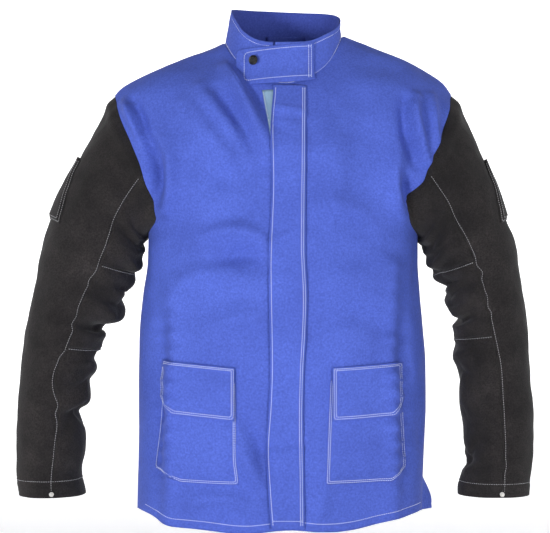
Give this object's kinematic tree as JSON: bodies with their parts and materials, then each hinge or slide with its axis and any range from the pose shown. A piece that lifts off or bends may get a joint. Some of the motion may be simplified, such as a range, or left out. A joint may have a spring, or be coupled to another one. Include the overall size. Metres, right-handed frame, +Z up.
{
  "type": "welding jacket",
  "caption": "Hip-length welding jacket with cotton drill body, split-leather sleeves, stand collar with snap tab, storm flap and two patch pockets",
  "frame": {"origin": "middle of the neck opening", "axes": "+Z up, -Y towards the front, +X towards the wearer's left"},
  "size_m": [0.821, 0.2917, 0.8127],
  "materials": {
    "blue_drill": "matte twill",
    "blue_lining": "matte twill",
    "black_suede": "napped split leather",
    "tape": "hook and loop tape",
    "snap_metal": "black enamel",
    "inner_metal": "plated",
    "stitching": "thread"
  },
  "bodies": {
    "jacket_body": {"right_front_panel": "blue_drill", "left_front_panel": "blue_drill", "back_panel": "blue_drill", "collar_outer": "blue_drill", "collar_lining": "blue_lining", "right_front_facing": "blue_lining", "left_front_facing": "blue_lining", "loop_tape": "tape", "right_pocket": "blue_drill", "left_pocket": "blue_drill", "hang_loop": "blue_drill", "collar_snap_stud": "inner_metal", "collar_snap_post": "inner_metal"},
    "storm_flap": {"front_fly": "blue_drill", "fly_lining": "blue_lining", "hook_tape": "tape"},
    "throat_tab": {"collar_tab": "blue_drill", "tab_snap_cap": "snap_metal", "tab_snap_socket": "inner_metal"},
    "right_flap": {"right_pocket_flap": "blue_drill"},
    "left_flap": {"left_pocket_flap": "blue_drill"},
    "right_sleeve": {"right_sleeve_top": "black_suede", "right_sleeve_under_upper": "black_suede", "right_elbow_panel": "black_suede", "right_sleeve_under_lower": "black_suede", "right_sleeve_pocket": "black_suede", "right_cuff_rivet": "inner_metal"},
    "left_sleeve": {"left_sleeve_top": "black_suede", "left_sleeve_under_upper": "black_suede", "left_elbow_panel": "black_suede", "left_sleeve_under_lower": "black_suede", "left_sleeve_pocket": "black_suede", "left_cuff_rivet": "inner_metal"}
  },
  "joints": [
    {"name": "right_sleeve_swing", "type": "hinge", "parent": "jacket_body", "child": "right_sleeve", "pos_m": [-0.24, -0.01384, -0.165], "axis": [-0.9707, 0, -0.2404], "range_deg": [-25, 40]},
    {"name": "left_sleeve_swing", "type": "hinge", "parent": "jacket_body", "child": "left_sleeve", "pos_m": [0.24, -0.01364, -0.165], "axis": [-0.9707, 0, 0.2404], "range_deg": [-25, 40]},
    {"name": "storm_flap_hinge", "type": "hinge", "parent": "jacket_body", "child": "storm_flap", "pos_m": [0.034, -0.147, -0.3], "axis": [0, 0.0649, 0.9979], "range_deg": [0, 115]},
    {"name": "throat_tab_hinge", "type": "hinge", "parent": "jacket_body", "child": "throat_tab", "pos_m": [0.0433, -0.0845, -0.018], "axis": [0, 0, 1], "range_deg": [0, 120]},
    {"name": "right_pocket_flap_hinge", "type": "hinge", "parent": "jacket_body", "child": "right_flap", "pos_m": [-0.13376, -0.13299, -0.48], "axis": [-0.9102, 0.4141, 0], "range_deg": [0, 120]},
    {"name": "left_pocket_flap_hinge", "type": "hinge", "parent": "jacket_body", "child": "left_flap", "pos_m": [0.127, -0.13585, -0.48], "axis": [-0.922, -0.3872, 0], "range_deg": [0, 120]}
  ]
}
